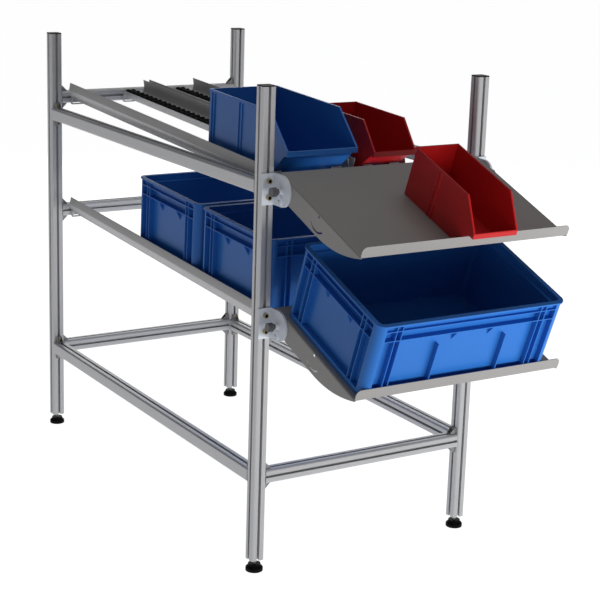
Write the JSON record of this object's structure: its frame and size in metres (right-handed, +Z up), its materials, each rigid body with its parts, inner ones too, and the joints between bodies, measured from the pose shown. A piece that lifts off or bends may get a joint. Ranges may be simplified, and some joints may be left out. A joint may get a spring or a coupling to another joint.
{
  "type": "picking rack",
  "caption": "Slotted-aluminium picking rack with sloping roller lanes on two levels that feed bins and containers to tilting trays at the front.",
  "frame": {"origin": "on the floor, in the middle of the whole rack's width and length", "axes": "+X to the picker's right, +Y from the picking side to the loading side, +Z up"},
  "size_m": [0.756, 1.9654, 1.38],
  "materials": {
    "profile": "satin",
    "cap": "matte",
    "angle": "satin",
    "screw": "satin",
    "stem": "satin",
    "pad": "matte",
    "track": "satin",
    "wheel": "matte",
    "guide": "satin",
    "hook": "satin",
    "bracket": "satin",
    "tray": "satin",
    "knob": "matte",
    "red_bin": "satin",
    "blue_bin": "satin",
    "container": "satin"
  },
  "bodies": {
    "frame": {"post_front_left": "profile", "post_front_right": "profile", "post_rear_left": "profile", "post_rear_right": "profile", "base_rail_left": "profile", "base_rail_right": "profile", "base_rail_front": "profile", "base_rail_rear": "profile", "upper_rail_left": "profile", "upper_rail_right": "profile", "upper_cross_rail_front": "profile", "upper_cross_rail_rear": "profile", "lower_cross_rail_front": "profile", "lower_cross_rail_rear": "profile", "post_end_caps": "cap", "corner_brackets": "angle", "frame_screws": "screw", "wide_track_left": "track", "wide_track_right": "track", "narrow_track_left": "track", "narrow_track_right": "track", "lower_track_left": "track", "lower_track_right": "track", "wide_wheels_left": "wheel", "wide_wheels_right": "wheel", "narrow_wheels_left": "wheel", "narrow_wheels_right": "wheel", "lower_wheels_left": "wheel", "lower_wheels_right": "wheel", "wide_guide_left": "guide", "wide_guide_right": "guide", "narrow_guide_left": "guide", "narrow_guide_right": "guide", "lower_guide_left": "guide", "lower_guide_right": "guide", "track_hooks": "hook", "upper_bracket_left": "bracket", "upper_bracket_right": "bracket", "lower_bracket_left": "bracket", "lower_bracket_right": "bracket"},
    "foot_front_left": {"foot_stem_front_left": "stem", "foot_pad_front_left": "pad"},
    "foot_front_right": {"foot_stem_front_right": "stem", "foot_pad_front_right": "pad"},
    "foot_rear_left": {"foot_stem_rear_left": "stem", "foot_pad_rear_left": "pad"},
    "foot_rear_right": {"foot_stem_rear_right": "stem", "foot_pad_rear_right": "pad"},
    "upper_tray": {"upper_tray": "tray"},
    "lower_tray": {"lower_tray": "tray"},
    "upper_knob_left": {"upper_knob_left": "knob"},
    "upper_knob_right": {"upper_knob_right": "knob"},
    "lower_knob_left": {"lower_knob_left": "knob"},
    "lower_knob_right": {"lower_knob_right": "knob"},
    "wide_bin": {"wide_bin": "blue_bin"},
    "narrow_bin": {"narrow_bin": "red_bin"},
    "tray_bin": {"tray_bin": "red_bin"},
    "lane_container_front": {"lane_container_front": "container"},
    "lane_container_rear": {"lane_container_rear": "container"},
    "tray_container": {"tray_container": "container"}
  },
  "joints": [
    {"name": "foot_front_left_height", "type": "slide", "parent": "frame", "child": "foot_front_left", "axis": [0, 0, 1], "range_m": [-0.015, 0.012]},
    {"name": "foot_front_right_height", "type": "slide", "parent": "frame", "child": "foot_front_right", "axis": [0, 0, 1], "range_m": [-0.015, 0.012]},
    {"name": "foot_rear_left_height", "type": "slide", "parent": "frame", "child": "foot_rear_left", "axis": [0, 0, 1], "range_m": [-0.015, 0.012]},
    {"name": "foot_rear_right_height", "type": "slide", "parent": "frame", "child": "foot_rear_right", "axis": [0, 0, 1], "range_m": [-0.015, 0.012]},
    {"name": "upper_tray_tilt", "type": "hinge", "parent": "frame", "child": "upper_tray", "pos_m": [0, -0.52726, 1.1055], "axis": [1, 0, 0], "range_deg": [-20, 5]},
    {"name": "lower_tray_tilt", "type": "hinge", "parent": "frame", "child": "lower_tray", "pos_m": [0, -0.52726, 0.735], "axis": [1, 0, 0], "range_deg": [-10, 10]},
    {"name": "upper_knob_left_turn", "type": "hinge", "parent": "frame", "child": "upper_knob_left", "pos_m": [-0.35, -0.52726, 1.1055], "axis": [-1, 0, 0], "range_deg": [0, 360]},
    {"name": "upper_knob_right_turn", "type": "hinge", "parent": "frame", "child": "upper_knob_right", "pos_m": [0.35, -0.52726, 1.1055], "axis": [1, 0, 0], "range_deg": [0, 360]},
    {"name": "lower_knob_left_turn", "type": "hinge", "parent": "frame", "child": "lower_knob_left", "pos_m": [-0.35, -0.52726, 0.735], "axis": [-1, 0, 0], "range_deg": [0, 360]},
    {"name": "lower_knob_right_turn", "type": "hinge", "parent": "frame", "child": "lower_knob_right", "pos_m": [0.35, -0.52726, 0.735], "axis": [1, 0, 0], "range_deg": [0, 360]},
    {"name": "wide_bin_travel", "type": "slide", "parent": "frame", "child": "wide_bin", "axis": [0, 0.9988, 0.048], "range_m": [0, 0.95]},
    {"name": "narrow_bin_travel", "type": "slide", "parent": "frame", "child": "narrow_bin", "axis": [0, 0.9988, 0.048], "range_m": [0, 1.07]},
    {"name": "lane_container_front_travel", "type": "slide", "parent": "frame", "child": "lane_container_front", "axis": [0, 0.9988, 0.048], "range_m": [0, 0.08]},
    {"name": "lane_container_rear_travel", "type": "slide", "parent": "lane_container_front", "child": "lane_container_rear", "axis": [0, 0.9988, 0.048], "range_m": [0, 0.44]},
    {"name": "tray_bin_travel", "type": "slide", "parent": "upper_tray", "child": "tray_bin", "axis": [0, 0.9397, 0.342], "range_m": [0, 0.1]},
    {"name": "tray_container_travel", "type": "slide", "parent": "lower_tray", "child": "tray_container", "axis": [0, 0.9397, 0.342], "range_m": [0, 0.04]}
  ]
}
